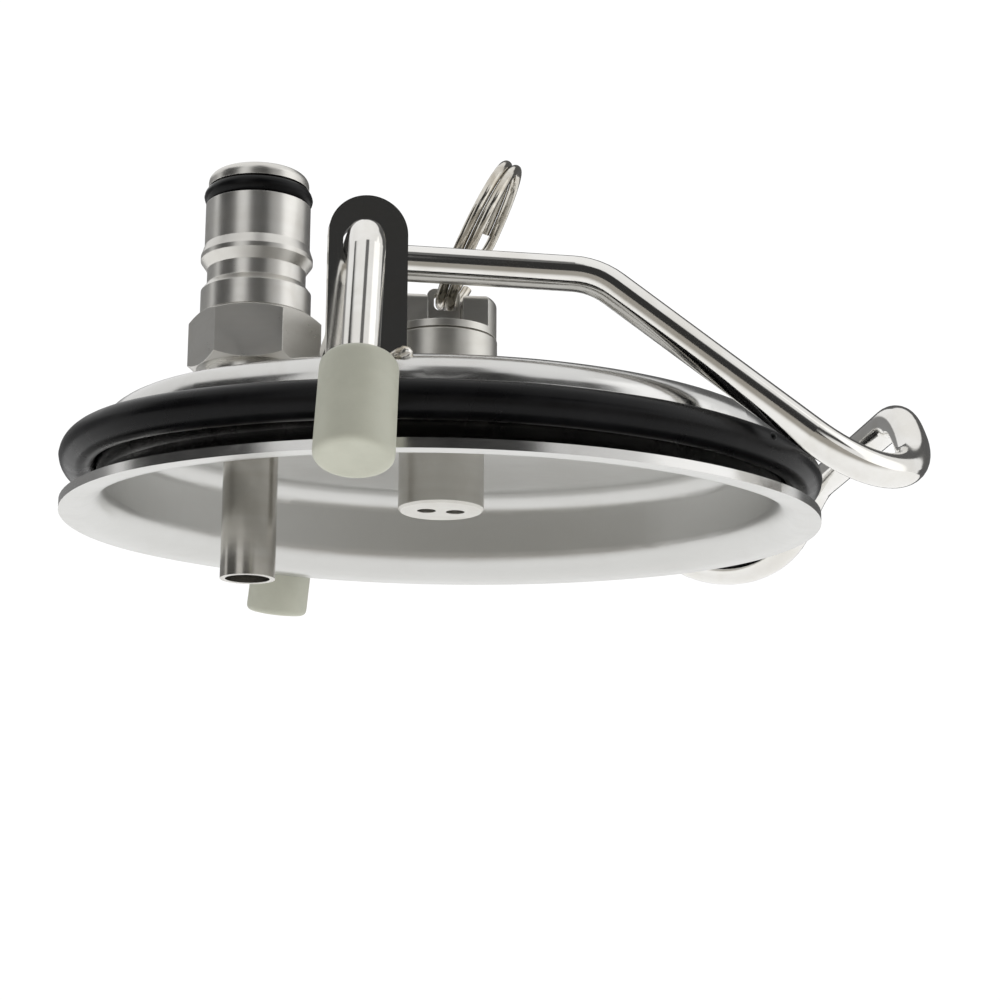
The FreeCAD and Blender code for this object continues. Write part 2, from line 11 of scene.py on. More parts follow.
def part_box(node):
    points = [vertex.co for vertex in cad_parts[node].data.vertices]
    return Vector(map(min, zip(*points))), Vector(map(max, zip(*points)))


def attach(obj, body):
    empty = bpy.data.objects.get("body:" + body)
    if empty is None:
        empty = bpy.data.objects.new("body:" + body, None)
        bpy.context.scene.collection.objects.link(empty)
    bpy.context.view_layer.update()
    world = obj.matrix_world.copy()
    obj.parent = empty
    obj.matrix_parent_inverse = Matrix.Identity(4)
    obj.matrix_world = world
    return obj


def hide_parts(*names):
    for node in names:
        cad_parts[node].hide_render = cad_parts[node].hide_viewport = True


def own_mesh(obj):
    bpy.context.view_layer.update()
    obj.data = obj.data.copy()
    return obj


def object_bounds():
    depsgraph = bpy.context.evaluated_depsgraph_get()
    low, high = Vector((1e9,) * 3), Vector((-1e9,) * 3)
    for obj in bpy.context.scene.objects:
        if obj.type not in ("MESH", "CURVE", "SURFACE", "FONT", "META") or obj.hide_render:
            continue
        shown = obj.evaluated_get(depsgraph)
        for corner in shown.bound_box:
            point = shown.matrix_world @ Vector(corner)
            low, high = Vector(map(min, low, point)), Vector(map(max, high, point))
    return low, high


# Looks for an oval keg lid: satin pressing, black gasket, polished bail on two
# ears, turned relief valve and gas post. Metres, in the frame of the CAD.

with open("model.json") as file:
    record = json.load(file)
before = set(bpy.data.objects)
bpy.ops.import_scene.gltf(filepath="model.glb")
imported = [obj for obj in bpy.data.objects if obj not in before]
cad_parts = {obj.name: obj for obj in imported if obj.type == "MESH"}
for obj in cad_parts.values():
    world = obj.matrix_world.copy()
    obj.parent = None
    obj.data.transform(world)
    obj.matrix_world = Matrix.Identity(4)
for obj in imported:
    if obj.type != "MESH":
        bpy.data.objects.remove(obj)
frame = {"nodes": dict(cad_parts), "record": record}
cad_low, cad_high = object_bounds()
nodes = frame["nodes"]
record = frame["record"]

MM = 0.001
UP = Vector((0, 0, 1))

# ---- places taken from the frame --------------------------------------------


def box_centre(node):
    low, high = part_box(node)
    return (low + high) / 2


def box_size(node):
    low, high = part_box(node)
    return high - low


def mount_place(name):
    """Position and outward direction of one of the record's mounts."""
    for mount in record["mounts"]:
        if mount["name"] == name:
            return Vector(mount["pos_m"]), Vector(mount["axis"]).normalized()
    raise ValueError("no mount named " + name)


VALVE_AXIS = box_centre("relief_housing")
POST_AXIS = box_centre("post_body")
TUBE_AXIS = box_centre("dip_tube")

# ---- node helpers -----------------------------------------------------------

BEVEL_SAMPLES = 4


class Graph:
    """Short names for building one material's node tree."""

    def __init__(self, tree):
        self.tree = tree
        self.nodes = tree.nodes
        self.nodes.clear()

    def add(self, kind, inputs=None, **settings):
        node = self.nodes.new(kind)
        for name, value in settings.items():
            setattr(node, name, value)
        for name, value in (inputs or {}).items():
            self.feed(node.inputs[name], value)
        return node

    def feed(self, socket, value):
        if isinstance(value, bpy.types.NodeSocket):
            self.tree.links.new(value, socket)
        else:
            socket.default_value = value

    def math(self, operation, first, second=0.0, third=0.0):
        node = self.add("ShaderNodeMath", operation=operation)
        for socket, value in zip(node.inputs, (first, second, third)):
            self.feed(socket, value)
        return node.outputs[0]

    def vector(self, operation, first, second=(0, 0, 0)):
        node = self.add("ShaderNodeVectorMath", operation=operation)
        self.feed(node.inputs[0], first)
        self.feed(node.inputs[1], second)
        return node.outputs["Value" if operation in ("LENGTH", "DOT_PRODUCT") else "Vector"]

    def position(self):
        """Place on the piece in metres, carried along when it moves."""
        return self.add("ShaderNodeTexCoord").outputs["Object"]

    def stretch(self, vector, scale):
        return self.add("ShaderNodeMapping", {"Vector": vector, "Scale": scale}).outputs[0]

    def noise(self, vector, size, detail=3.0, roughness=0.55, distortion=0.0):
        """Value around 0.5 whose features are about the given size in metres."""
        node = self.add("ShaderNodeTexNoise", {
            "Vector": vector,
            "Scale": 1 / size,
            "Detail": detail,
            "Roughness": roughness,
            "Distortion": distortion,
        })
        return node.outputs["Fac"]

    def ramp(self, value, low, high, out_low=0.0, out_high=1.0):
        node = self.add("ShaderNodeMapRange", {
            "Value": value,
            "From Min": low,
            "From Max": high,
            "To Min": out_low,
            "To Max": out_high,
        }, interpolation_type="SMOOTHSTEP")
        return node.outputs["Result"]

    def mix(self, factor, first, second):
        node = self.add("ShaderNodeMix", data_type="RGBA")
        self.feed(node.inputs["Factor"], factor)
        self.feed(node.inputs["A"], first if not isinstance(first, tuple) else (*first, 1.0))
        self.feed(node.inputs["B"], second if not isinstance(second, tuple) else (*second, 1.0))
        return node.outputs["Result"]

    def bump(self, height, depth, strength=1.0, normal=None):
        node = self.add("ShaderNodeBump", {"Height": height, "Distance": depth, "Strength": strength})
        if normal is not None:
            self.feed(node.inputs["Normal"], normal)
        return node.outputs["Normal"]

    def split(self, vector):
        """Outputs X, Y and Z of a vector."""
        return self.add("ShaderNodeSeparateXYZ", {"Vector": vector}).outputs

    def plan(self, parts):
        """The split vector with its height left out."""
        return self.add("ShaderNodeCombineXYZ", {"X": parts["X"], "Y": parts["Y"]}).outputs[0]

    def facing_in(self, place):
        """1 on faces that look down or towards the upright axis, else 0."""
        outward = self.vector("NORMALIZE", self.plan(self.split(place)))
        away = self.vector("ADD", outward, (0, 0, 1))
        normal = self.add("ShaderNodeNewGeometry").outputs["Normal"]
        return self.ramp(self.vector("DOT_PRODUCT", normal, away), 0.1, -0.3)

    def edges(self, reach):
        """1 on sharp convex edges and 0 on open faces."""
        normal = self.add("ShaderNodeNewGeometry").outputs["Normal"]
        facing = self.vector("DOT_PRODUCT", self.round_edges(reach), normal)
        return self.ramp(facing, 0.99, 0.90)

    def round_edges(self, reach):
        """Normal that rounds sharp edges by the given reach."""
        return self.add("ShaderNodeBevel", {"Radius": reach}, samples=BEVEL_SAMPLES).outputs["Normal"]

    def surface(self, colour, metallic, roughness, normal=None, **more):
        node = self.add("ShaderNodeBsdfPrincipled", {
            "Base Color": colour,
            "Metallic": metallic,
            "Roughness": roughness,
        })
        if normal is not None:
            self.feed(node.inputs["Normal"], normal)
        for name, value in more.items():
            self.feed(node.inputs[name.replace("_", " ")], value)
        self.add("ShaderNodeOutputMaterial", {"Surface": node.outputs[0]})


def new_material(name):
    material = bpy.data.materials.new(name)
    material.use_nodes = True
    return material, Graph(material.node_tree)


# ---- materials --------------------------------------------------------------


def satin_steel():
    """Pressed and tumbled sheet: fine grain, soft mottling, handling marks."""
    material, g = new_material("satin_steel")
    place = g.position()
    mottle = g.noise(place, 9 * MM, 4, 0.6, 0.6)
    cloud = g.noise(place, 30 * MM, 2)
    grain = g.noise(place, 0.3 * MM, 2)
    smear = g.noise(g.stretch(place, (1, 4, 4)), 6 * MM, 3)
    dull = (0.575, 0.57, 0.555)
    clean = (0.60, 0.597, 0.585)
    stained = (0.50, 0.485, 0.455)
    unpolished = (0.585, 0.585, 0.57)
    colour = g.mix(g.ramp(cloud, 0.35, 0.65), dull, clean)
    colour = g.mix(g.ramp(mottle, 0.50, 0.75, 0, 0.30), colour, stained)
    inside = g.facing_in(place)
    colour = g.mix(g.math("MULTIPLY", inside, 0.6), colour, unpolished)
    mottled = g.ramp(mottle, 0.3, 0.75, 0.16, 0.20)
    smeared = g.ramp(smear, 0.4, 0.7, 0, 0.035)
    roughness = g.math("MULTIPLY_ADD", inside, 0.15, g.math("ADD", mottled, smeared))
    height = g.math("ADD", g.math("MULTIPLY", grain, 0.08), g.math("MULTIPLY", mottle, 0.9))
    normal = g.bump(height, 0.02 * MM, 0.6)
    g.surface(colour, 1.0, roughness, normal)
    return material


def polished_steel():
    """Bright drawn wire and ear blanks: near mirror, faint haze and hairlines."""
    material, g = new_material("polished_steel")
    place = g.position()
    haze = g.noise(place, 7 * MM, 3, 0.6, 0.4)
    grain = g.noise(place, 0.4 * MM, 2)
    bright = (0.735, 0.725, 0.70)
    hazy = (0.69, 0.675, 0.64)
    colour = g.mix(g.ramp(haze, 0.4, 0.66), bright, hazy)
    roughness = g.ramp(haze, 0.35, 0.7, 0.075, 0.12)
    height = g.math("ADD", g.math("MULTIPLY", grain, 0.06), haze)
    g.surface(colour, 1.0, roughness, g.bump(height, 0.02 * MM, 0.5))
    return material


def turned_steel(name, axis, light, dark, rough):
    """Lathe-turned steel with rings about its own upright axis."""
    material, g = new_material(name)
    place = g.position()
    parts = g.split(g.vector("SUBTRACT", place, (axis.x, axis.y, 0)))
    radius = g.vector("LENGTH", g.plan(parts))
    turned = g.add("ShaderNodeCombineXYZ", {"X": radius, "Z": parts["Z"]}).outputs[0]
    rings = g.noise(turned, 0.25 * MM, 2, 0.7)
    bands = g.noise(turned, 2.2 * MM, 2)
    cloud = g.noise(place, 5 * MM, 3, 0.6, 0.5)
    colour = g.mix(g.ramp(bands, 0.3, 0.7, 0, 0.4), light, dark)
    colour = g.mix(g.ramp(cloud, 0.45, 0.8, 0, 0.5), colour, dark)
    worn = (0.80, 0.79, 0.76)
    edge = g.edges(0.25 * MM)
    colour = g.mix(g.math("MULTIPLY", edge, 0.4), colour, worn)
    cloudy = g.ramp(cloud, 0.3, 0.7, rough, rough + 0.05)
    roughness = g.math("ADD", cloudy, g.ramp(rings, 0.3, 0.7, 0, 0.02))
    normal = g.bump(rings, 0.0012 * MM, 0.5, g.round_edges(0.12 * MM))
    g.surface(colour, 1.0, roughness, normal)
    return material


def spring_steel():
    """Drawn spring wire, a little browned, with fine drawing lines."""
    material, g = new_material("spring_steel")
    place = g.position()
    patina = g.noise(place, 3 * MM, 3, 0.6, 0.5)
    grain = g.noise(place, 0.3 * MM, 2)
    drawn = (0.60, 0.575, 0.52)
    browned = (0.44, 0.405, 0.345)
    colour = g.mix(g.ramp(patina, 0.35, 0.68), drawn, browned)
    roughness = g.ramp(patina, 0.3, 0.7, 0.10, 0.18)
    g.surface(colour, 1.0, roughness, g.bump(grain, 0.004 * MM, 0.5))
    return material


def black_rubber():
    """Moulded rubber with a slight bloom, dust specks and a soft sheen."""
    material, g = new_material("black_rubber")
    place = g.position()
    bloom = g.noise(place, 8 * MM, 4, 0.6, 0.5)
    skin = g.noise(place, 0.6 * MM, 3, 0.6)
    speck = g.noise(place, 0.6 * MM, 1)
    black = (0.0035, 0.0035, 0.004)
    bloomed = (0.008, 0.008, 0.009)
    dust = (0.10, 0.10, 0.095)
    colour = g.mix(g.ramp(bloom, 0.45, 0.8), black, bloomed)
    colour = g.mix(g.ramp(speck, 0.80, 0.88, 0, 0.35), colour, dust)
    roughness = g.math("ADD", g.ramp(bloom, 0.3, 0.7, 0.24, 0.34), g.ramp(speck, 0.76, 0.86, 0, 0.2))
    normal = g.bump(skin, 0.012 * MM, 0.5)
    g.surface(colour, 0.0, roughness, normal, Specular_IOR_Level=0.13)
    return material


def foot_plastic():
    """Matte grey-green cap: faint mottle, dirty scuffs and rubbed rims."""
    material, g = new_material("foot_plastic")
    place = g.position()
    mottle = g.noise(place, 5 * MM, 4, 0.6)
    scuff = g.noise(g.stretch(place, (1, 1, 4)), 1.6 * MM, 4, 0.7, 0.6)
    pore = g.noise(place, 0.3 * MM, 2)
    pale = (0.505, 0.51, 0.425)
    deeper = (0.475, 0.48, 0.40)
    dirt = (0.33, 0.33, 0.28)
    rubbed = (0.62, 0.62, 0.56)
    colour = g.mix(g.ramp(mottle, 0.35, 0.7), pale, deeper)
    colour = g.mix(g.ramp(scuff, 0.68, 0.82, 0, 0.35), colour, dirt)
    edge = g.edges(0.5 * MM)
    colour = g.mix(g.math("MULTIPLY", edge, 0.25), colour, rubbed)
    roughness = g.ramp(mottle, 0.3, 0.7, 0.42, 0.56)
    height = g.math("ADD", pore, g.math("MULTIPLY", scuff, 0.6))
    g.surface(colour, 0.0, roughness, g.bump(height, 0.015 * MM, 0.5), IOR=1.46)
    return material


def weld_steel():
    """Rippled weld metal, straw-tinted in places by its heat."""
    material, g = new_material("weld_steel")
    place = g.position()
    tint = g.noise(place, 1.6 * MM, 3, 0.6, 0.4)
    ripple = g.noise(place, 0.35 * MM, 3, 0.6)
    plain = (0.70, 0.69, 0.66)
    straw = (0.58, 0.52, 0.42)
    colour = g.mix(g.ramp(tint, 0.4, 0.7), plain, straw)
    roughness = g.ramp(tint, 0.3, 0.7, 0.16, 0.30)
    g.surface(colour, 1.0, roughness, g.bump(ripple, 0.02 * MM, 0.6))
    return material


def dress(material, *names):
    """Give whole CAD nodes one material."""
    for name in names:
        data = nodes[name].data
        data.materials.clear()
        data.materials.append(material)
        for face in data.polygons:
            face.material_index = 0


sheet_metal = satin_steel()
mirror_metal = polished_steel()
valve_metal = turned_steel("turned_valve_steel", VALVE_AXIS, (0.56, 0.55, 0.515), (0.49, 0.47, 0.43), 0.30)
post_metal = turned_steel("turned_post_steel", POST_AXIS, (0.64, 0.63, 0.60), (0.56, 0.54, 0.50), 0.27)
tube_metal = turned_steel("drawn_tube_steel", TUBE_AXIS, (0.50, 0.485, 0.45), (0.40, 0.38, 0.34), 0.20)
ring_metal = spring_steel()
weld_metal = weld_steel()
rubber = black_rubber()
cap_plastic = foot_plastic()

dress(sheet_metal, "lid_shell")
dress(mirror_metal, "front_ear", "rear_ear", "bail_wire")
dress(valve_metal, "relief_housing", "relief_head", "relief_stem", "relief_disc")
dress(post_metal, "post_stub", "post_body", "poppet_stem", "poppet_cage")
dress(tube_metal, "dip_tube")
dress(ring_metal, "pull_ring", "relief_spring", "poppet_spring")
dress(rubber, "lid_gasket", "post_o_ring", "relief_seal", "poppet_seal", "dip_tube_o_ring")
dress(cap_plastic, "front_foot", "rear_foot")

# ---- mesh helpers -----------------------------------------------------------


def mesh_piece(name, points, faces, material, body):
    """Smooth-shaded object in the row frame, riding on a body."""
    mesh = bpy.data.meshes.new(name)
    mesh.from_pydata([tuple(point) for point in points], [], faces)
    mesh.polygons.foreach_set("use_smooth", [True] * len(mesh.polygons))
    mesh.materials.append(material)
    mesh.update()
    piece = bpy.data.objects.new(name, mesh)
    bpy.context.scene.collection.objects.link(piece)
    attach(piece, body)
    return piece


def tube(path, radius_at, sides, closed):
    """Points and faces of a round section carried along a path.

    radius_at(share, angle) gives the section's radius; angle 0 points away
    from the inside of an anticlockwise path and a quarter turn points up."""
    points = []
    count = len(path)
    for index, centre in enumerate(path):
        before = path[index - 1] if closed or index > 0 else centre
        after = path[(index + 1) % count] if closed or index < count - 1 else centre
        tangent = (after - before).normalized()
        outward = tangent.cross(UP).normalized()
        top = outward.cross(tangent)
        for side in range(sides):
            angle = math.tau * side / sides
            direction = outward * math.cos(angle) + top * math.sin(angle)
            points.append(centre + direction * radius_at(index / count, angle))
    faces = []
    for index in range(count if closed else count - 1):
        here = index * sides
        there = (index + 1) % count * sides
        for side in range(sides):
            turn = (side + 1) % sides
            faces.append((here + side, here + turn, there + turn, there + side))
    if not closed:
        faces.append(tuple(reversed(range(sides))))
        faces.append(tuple(range((count - 1) * sides, count * sides)))
    return points, faces


def lathe(origin, axis, profile, sides, swell_at):
    """Points and faces of (height, radius) pairs spun about an axis."""
    across = axis.orthogonal().normalized()
    along = axis.cross(across)
    points = []
    for height, radius in profile:
        for side in range(sides):
            angle = math.tau * side / sides
            direction = across * math.cos(angle) + along * math.sin(angle)
            points.append(origin + axis * height + direction * radius * swell_at(height, angle))
    faces = []
    for level in range(len(profile) - 1):
        here = level * sides
        there = here + sides
        for side in range(sides):
            turn = (side + 1) % sides
            faces.append((here + side, here + turn, there + turn, there + side))
    return points, faces


def wobble(point, size, seed):
    """Smooth random value of about -1 to 1 that varies over the given size."""
    return noise.noise(Vector(point) / size + Vector((seed, seed, seed)))


# ---- lid gasket -------------------------------------------------------------

GASKET_STATIONS = 288
GASKET_SIDES = 40
SMOOTHING_ROUNDS = 4
LEFT_RISE = 1.2 * MM
RIGHT_DROP = 0.65 * MM
SAG = 0.12 * MM
SAG_LENGTH = 24 * MM
SAG_SEED = 3
UNEVEN_SHARE = 0.006
UNEVEN_LENGTH = 6 * MM
UNEVEN_SEED = 11
SEAM_HEIGHT = 0.05 * MM
SEAM_SHARPNESS = 8
PIP_BEARING = math.radians(-38.5)
PIP_RADIUS = 0.55 * MM
PIP_HEIGHT = 0.42 * MM
PIP_ROOT = 0.3 * MM
PIP_SLOPE = 0.35
PIP_SIDES = 16


def gasket_centreline(section_radius):
    """Even points round the CAD gasket's centreline, from its own normals."""
    mesh = nodes["lid_gasket"].data
    inner = [vertex.co - vertex.normal * section_radius for vertex in mesh.vertices]
    bearing = np.array([math.atan2(point.y, point.x) for point in inner])
    reach = np.array([math.hypot(point.x, point.y) for point in inner])
    steps = np.linspace(-math.pi, math.pi, GASKET_STATIONS, endpoint=False)
    half_step = math.pi / GASKET_STATIONS
    known = []
    for step in steps:
        near = np.abs((bearing - step + math.pi) % math.tau - math.pi) < half_step
        if near.any():
            known.append((bearing[near].mean(), reach[near].mean()))
    known.sort()
    angles, distances = zip(*known)
    smooth = np.interp(steps, angles, distances, period=math.tau)
    for _ in range(SMOOTHING_ROUNDS):
        smooth = (np.roll(smooth, 1) + 2 * smooth + np.roll(smooth, -1)) / 4
    return [Vector((far * math.cos(turn), far * math.sin(turn), 0)) for turn, far in zip(steps, smooth)]


def gasket_height(point, half_length):
    """How far the ring has crept up the wall at the left and down at the right."""
    share = point.x / half_length
    rise = LEFT_RISE * max(0, -share) ** 2 - RIGHT_DROP * max(0, share) ** 2
    return rise + SAG * wobble(point, SAG_LENGTH, SAG_SEED)


def parting_line(angle, height, sharpness):
    """Thin ridge round the outside of a moulded ring's section."""
    if math.cos(angle) <= 0:
        return 0
    return height * max(0, 1 - abs(math.sin(angle)) * sharpness)


def make_gasket():
    """The soft ring as it sits: not quite level, with a parting line and a pip."""
    middle = box_centre("lid_gasket")
    size = box_size("lid_gasket")
    section = size.z / 2
    path = gasket_centreline(section)
    half_length = size.x / 2
    for point in path:
        point.z = middle.z + gasket_height(point, half_length)

    def radius_at(share, angle):
        here = path[round(share * GASKET_STATIONS) % GASKET_STATIONS]
        uneven = UNEVEN_SHARE * wobble(here, UNEVEN_LENGTH, UNEVEN_SEED)
        return section * (1 + uneven) + parting_line(angle, SEAM_HEIGHT, SEAM_SHARPNESS)

    points, faces = tube(path, radius_at, GASKET_SIDES, True)
    piece = mesh_piece("gasket_ring", points, faces, rubber, "lid")
    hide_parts("lid_gasket")
    make_pip(path, section)


def make_pip(path, section):
    """Small moulding gate on the ring's upper outside, near its front."""
    station = min(path, key=lambda point: abs(math.atan2(point.y, point.x) - PIP_BEARING))
    outward = Vector((station.x, station.y, 0)).normalized()
    direction = (outward + UP * PIP_SLOPE).normalized()
    dome = [
        (-PIP_ROOT, PIP_RADIUS * 1.5),
        (0.0, PIP_RADIUS * 1.15),
        (PIP_HEIGHT * 0.6, PIP_RADIUS * 0.9),
        (PIP_HEIGHT * 0.92, PIP_RADIUS * 0.5),
        (PIP_HEIGHT, PIP_RADIUS * 0.05),
    ]

    def oval(height, angle):
        return 1 + 0.06 * math.cos(2 * angle)

    points, faces = lathe(station + direction * section, direction, dome, PIP_SIDES, oval)
    mesh_piece("gasket_pip", points, faces, rubber, "lid")


make_gasket()

# ---- post's O-ring ----------------------------------------------------------

O_RING_STATIONS = 96
O_RING_SIDES = 24
O_RING_LEAN = 0.05 * MM
O_RING_LEAN_TURN = 2.0
O_RING_SEAM = 0.03 * MM
O_RING_SEAM_SHARPNESS = 5
O_RING_FIT = 0.99
O_RING_UNEVEN = 0.006
O_RING_WAVES = 5


def make_o_ring(name, node, body):
    """Moulded O-ring with a fine parting line, a touch out of level."""
    middle = box_centre(node)
    size = box_size(node)
    section = size.z / 2
    mean = size.x / 2 - section
    path = []
    for index in range(O_RING_STATIONS):
        angle = math.tau * index / O_RING_STATIONS
        tip = O_RING_LEAN * math.cos(angle + O_RING_LEAN_TURN)
        path.append(middle + Vector((mean * math.cos(angle), mean * math.sin(angle), tip)))

    def radius_at(share, angle):
        wave = O_RING_UNEVEN * math.sin(math.tau * share * O_RING_WAVES)
        seam = parting_line(angle, O_RING_SEAM, O_RING_SEAM_SHARPNESS)
        return section * (O_RING_FIT + wave) + seam

    points, faces = tube(path, radius_at, O_RING_SIDES, True)
    piece = mesh_piece(name, points, faces, rubber, body)
    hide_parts(node)


make_o_ring("barrel_o_ring", "post_o_ring", "lid")

# ---- springs ----------------------------------------------------------------

RELIEF_WIRE = 0.8 * MM
POPPET_WIRE = 0.7 * MM
RELIEF_TURNS = 7
POPPET_TURNS = 4
COIL_STEPS = 28
COIL_SIDES = 12
CLOSED_ENDS = 0.45
WIRE_FIT = 0.98


def make_spring(name, node, wire, turns):
    """Coil with closed ends: its turns lie closer together at both ends."""
    low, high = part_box(node)
    middle = (low + high) / 2
    height = high.z - low.z
    mean = (high.x - low.x) / 2 - wire / 2
    count = turns * COIL_STEPS
    rise = height - wire
    path = []
    for index in range(count + 1):
        share = index / count
        ease = share - math.sin(math.tau * share) * CLOSED_ENDS / math.tau
        angle = math.tau * turns * share
        z = low.z + wire / 2 + rise * ease
        path.append(Vector((middle.x + mean * math.cos(angle), middle.y + mean * math.sin(angle), z)))
    points, faces = tube(path, lambda share, angle: wire / 2 * WIRE_FIT, COIL_SIDES, False)
    piece = mesh_piece(name, points, faces, ring_metal, "lid")
    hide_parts(node)
    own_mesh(piece)


make_spring("relief_coil", "relief_spring", RELIEF_WIRE, RELIEF_TURNS)
make_spring("poppet_coil", "poppet_spring", POPPET_WIRE, POPPET_TURNS)

# ---- foot caps --------------------------------------------------------------

CAP_SIDES = 88
CAP_SEAM = 0.008
CAP_SEAM_SHARPNESS = 14
CAP_SEAM_TURN = 0.6
CAP_RIPPLE = 0.004
CAP_RIPPLE_LENGTH = 4 * MM
MOUTH_DEPTH = 0.01 * MM
WIRE_CLEARANCE = 0.03 * MM


def cap_profile(radius, length, bore):
    """Heights and radii from the dished pad, up the side and into the mouth."""
    pad = [
        (0.16 * MM, 0.02 * MM),
        (0.12 * MM, radius * 0.45),
        (0.04 * MM, radius * 0.72),
    ]
    lower_rim = [
        (0.0, radius - 0.95 * MM),
        (0.06 * MM, radius - 0.55 * MM),
        (0.24 * MM, radius - 0.25 * MM),
        (0.55 * MM, radius - 0.07 * MM),
        (1.0 * MM, radius),
    ]
    side = [
        (length * 0.3, radius - 0.02 * MM),
        (length * 0.6, radius - 0.05 * MM),
        (length - 1.1 * MM, radius - 0.09 * MM),
    ]
    upper_rim = [
        (length - 0.6 * MM, radius - 0.17 * MM),
        (length - 0.2 * MM, radius - 0.42 * MM),
        (length - 0.02 * MM, radius - 0.85 * MM),
    ]
    mouth = [
        (length - 0.05 * MM, bore + 0.5 * MM),
        (length - 0.3 * MM, bore + 0.12 * MM),
        (length - 1.0 * MM, bore),
    ]
    return pad + lower_rim + side + upper_rim + mouth


def make_foot_cap(name, node, mount, seed):
    """Pushed-on cap with a drafted side, soft rims and two mould seams."""
    end, down = mount_place(mount)
    back = -down
    offsets = [vertex.co - end for vertex in nodes[node].data.vertices]
    length = max(offset.dot(back) for offset in offsets)
    spread = [(offset - back * offset.dot(back)).length for offset in offsets]
    at_mouth = [reach for reach, offset in zip(spread, offsets) if offset.dot(back) > length - MOUTH_DEPTH]
    profile = cap_profile(max(spread), length, min(at_mouth) + WIRE_CLEARANCE)

    def swell_at(height, angle):
        seam = CAP_SEAM * max(0, 1 - abs(math.sin(angle + CAP_SEAM_TURN)) * CAP_SEAM_SHARPNESS)
        place = (math.cos(angle), math.sin(angle), height / CAP_RIPPLE_LENGTH)
        return 1 + seam + CAP_RIPPLE * wobble(place, 1.0, seed)

    points, faces = lathe(end, back, profile, CAP_SIDES, swell_at)
    piece = mesh_piece(name, points, faces, cap_plastic, "bail")
    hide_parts(node)


make_foot_cap("front_cap", "front_foot", "front_foot_pad", 5)
make_foot_cap("rear_cap", "rear_foot", "rear_foot_pad", 17)

# ---- welds ------------------------------------------------------------------

WELD_RADIUS = 0.84 * MM
WELD_SIDES = 18
WELD_STEPS = 6
WELD_SMOOTHING = 3
WELD_INWARD = 2 * MM
WELD_ALONG_EDGE = 2.7 * MM
WELD_LUMPS = 0.16
ROUND_WELD_RADIUS = 0.42 * MM
ROUND_WELD_STATIONS = 120
ROUND_WELD_SIDES = 14
ROUND_WELD_RIPPLES = 40

lid_tree = BVHTree.FromPolygons(
    [tuple(vertex.co) for vertex in nodes["lid_shell"].data.vertices],
    [tuple(face.vertices) for face in nodes["lid_shell"].data.polygons])


def lid_surface(x, y):
    """Point of the pressing's top surface above a place in plan."""
    above = Vector((x, y, cad_high.z))
    return lid_tree.ray_cast(above, -UP)[0]


def make_corner_weld(name, node, corner_side, seed):
    """Lumpy bead round one lower corner of an ear's plate, thickest there.

    It runs from the plate's inner side round the corner and along its face."""
    low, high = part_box(node)
    front = low.y < 0
    toward = 1 if front else -1
    outer_y = low.y if front else high.y
    inner_y = outer_y + toward * WELD_INWARD
    corner_x = low.x if corner_side < 0 else high.x
    plan = [
        (corner_x, inner_y),
        (corner_x + corner_side * 0.1 * MM, outer_y + toward * 0.9 * MM),
        (corner_x + corner_side * 0.05 * MM, outer_y + toward * 0.1 * MM),
        (corner_x - corner_side * 0.5 * MM, outer_y - toward * 0.05 * MM),
        (corner_x - corner_side * 1.5 * MM, outer_y - toward * 0.02 * MM),
        (corner_x - corner_side * WELD_ALONG_EDGE, outer_y),
    ]
    path = []
    for start, stop in zip(plan, plan[1:]):
        for step in range(WELD_STEPS):
            share = step / WELD_STEPS
            x = start[0] + (stop[0] - start[0]) * share
            y = start[1] + (stop[1] - start[1]) * share
            foot = lid_surface(x, y)
            foot.z = max(foot.z, low.z + WELD_RADIUS / 2)
            path.append(foot)
    for _ in range(WELD_SMOOTHING):
        inner = [(last + 2 * here + after) / 4 for last, here, after in zip(path, path[1:], path[2:])]
        path = [path[0]] + inner + [path[-1]]

    def radius_at(share, angle):
        middle = math.sin(math.pi * share) ** 0.7
        lump = 1 + WELD_LUMPS * wobble((share * 6, math.cos(angle), math.sin(angle)), 1.0, seed)
        upward = 1 + 0.45 * max(0, math.sin(angle)) * middle
        return WELD_RADIUS * (0.15 + 0.85 * middle) * lump * upward

    points, faces = tube(path, radius_at, WELD_SIDES, False)
    mesh_piece(name, points, faces, weld_metal, "lid")


def make_round_weld(name, axis, radius, seed):
    """Rippled bead where an upright round piece meets the pressing's top."""
    path = []
    for index in range(ROUND_WELD_STATIONS):
        angle = math.tau * index / ROUND_WELD_STATIONS
        reach = radius + 0.02 * MM * math.sin(9 * angle)
        path.append(lid_surface(axis.x + reach * math.cos(angle), axis.y + reach * math.sin(angle)))

    def radius_at(share, angle):
        ripple = 0.08 * math.sin(math.tau * share * ROUND_WELD_RIPPLES)
        lump = 0.14 * wobble((share * 9, math.cos(angle), math.sin(angle)), 1.0, seed)
        return ROUND_WELD_RADIUS * (1 + ripple + lump)

    points, faces = tube(path, radius_at, ROUND_WELD_SIDES, True)
    mesh_piece(name, points, faces, weld_metal, "lid")


make_corner_weld("front_ear_weld_left", "front_ear", -1, 21)
make_corner_weld("front_ear_weld_right", "front_ear", 1, 22)
make_corner_weld("rear_ear_weld_left", "rear_ear", -1, 23)
make_corner_weld("rear_ear_weld_right", "rear_ear", 1, 24)
make_round_weld("valve_weld", VALVE_AXIS, box_size("relief_housing").x / 2, 31)
make_round_weld("post_weld", POST_AXIS, box_size("post_stub").x / 2, 32)

# ---- studio -----------------------------------------------------------------

FLOOR_DEPTH = 0.13
FLOOR_REACH = 4.0
FLOOR_GLOW = 0.45
FLOOR_FADE_NEAR = 0.14
FLOOR_FADE_FAR = 0.42
FLOOR_SEGMENTS = 96
ROOM_LEVEL = 1.0
CEILING_LEVEL = 1.1
SEEN_LEVEL = 1.05
CARD_SOFTNESS = 2.5

